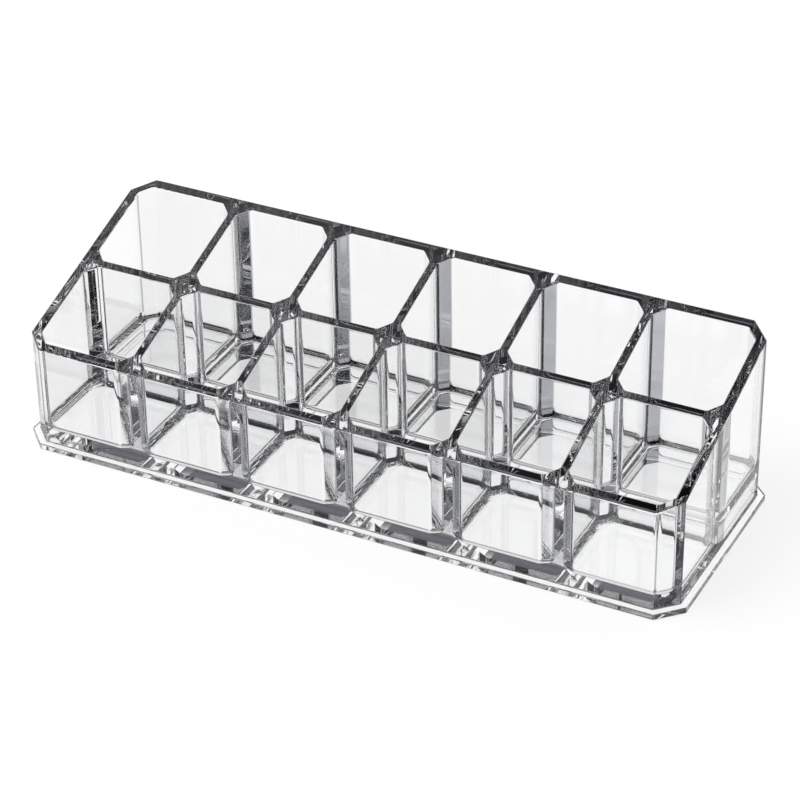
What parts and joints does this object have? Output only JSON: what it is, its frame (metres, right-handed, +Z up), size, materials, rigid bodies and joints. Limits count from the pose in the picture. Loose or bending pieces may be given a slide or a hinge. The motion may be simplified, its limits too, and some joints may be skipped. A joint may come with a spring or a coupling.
{
  "type": "vanity organizer",
  "caption": "Clear acrylic countertop organizer: rows of open square wells with cut corners under one sloping rim, raised back floors and a flanged base, for upright lipsticks.",
  "frame": {"origin": "centre of the base plate's underside", "axes": "+X along the long side to the right, +Y from the low front to the tall back, +Z up"},
  "size_m": [0.1852, 0.0654, 0.0492],
  "materials": {
    "clear_acrylic": "polished, transparent"
  },
  "bodies": {
    "root": {"base_plate": "clear_acrylic", "front_wall": "clear_acrylic", "back_wall": "clear_acrylic", "left_wall": "clear_acrylic", "right_wall": "clear_acrylic", "front_left_corner_panel": "clear_acrylic", "front_right_corner_panel": "clear_acrylic", "back_left_corner_panel": "clear_acrylic", "back_right_corner_panel": "clear_acrylic", "left_post": "clear_acrylic", "right_post": "clear_acrylic", "middle_panel_1": "clear_acrylic", "middle_panel_2": "clear_acrylic", "middle_panel_3": "clear_acrylic", "middle_panel_4": "clear_acrylic", "middle_panel_5": "clear_acrylic", "middle_panel_6": "clear_acrylic", "crossing_post_1": "clear_acrylic", "crossing_post_2": "clear_acrylic", "crossing_post_3": "clear_acrylic", "crossing_post_4": "clear_acrylic", "crossing_post_5": "clear_acrylic", "front_divider_1": "clear_acrylic", "front_divider_2": "clear_acrylic", "front_divider_3": "clear_acrylic", "front_divider_4": "clear_acrylic", "front_divider_5": "clear_acrylic", "front_post_1": "clear_acrylic", "front_post_2": "clear_acrylic", "front_post_3": "clear_acrylic", "front_post_4": "clear_acrylic", "front_post_5": "clear_acrylic", "front_floor_1": "clear_acrylic", "front_floor_2": "clear_acrylic", "front_floor_3": "clear_acrylic", "front_floor_4": "clear_acrylic", "front_floor_5": "clear_acrylic", "front_floor_6": "clear_acrylic", "back_divider_1": "clear_acrylic", "back_divider_2": "clear_acrylic", "back_divider_3": "clear_acrylic", "back_divider_4": "clear_acrylic", "back_divider_5": "clear_acrylic", "back_post_1": "clear_acrylic", "back_post_2": "clear_acrylic", "back_post_3": "clear_acrylic", "back_post_4": "clear_acrylic", "back_post_5": "clear_acrylic", "back_floor_1": "clear_acrylic", "back_floor_2": "clear_acrylic", "back_floor_3": "clear_acrylic", "back_floor_4": "clear_acrylic", "back_floor_5": "clear_acrylic", "back_floor_6": "clear_acrylic"}
  },
  "joints": []
}
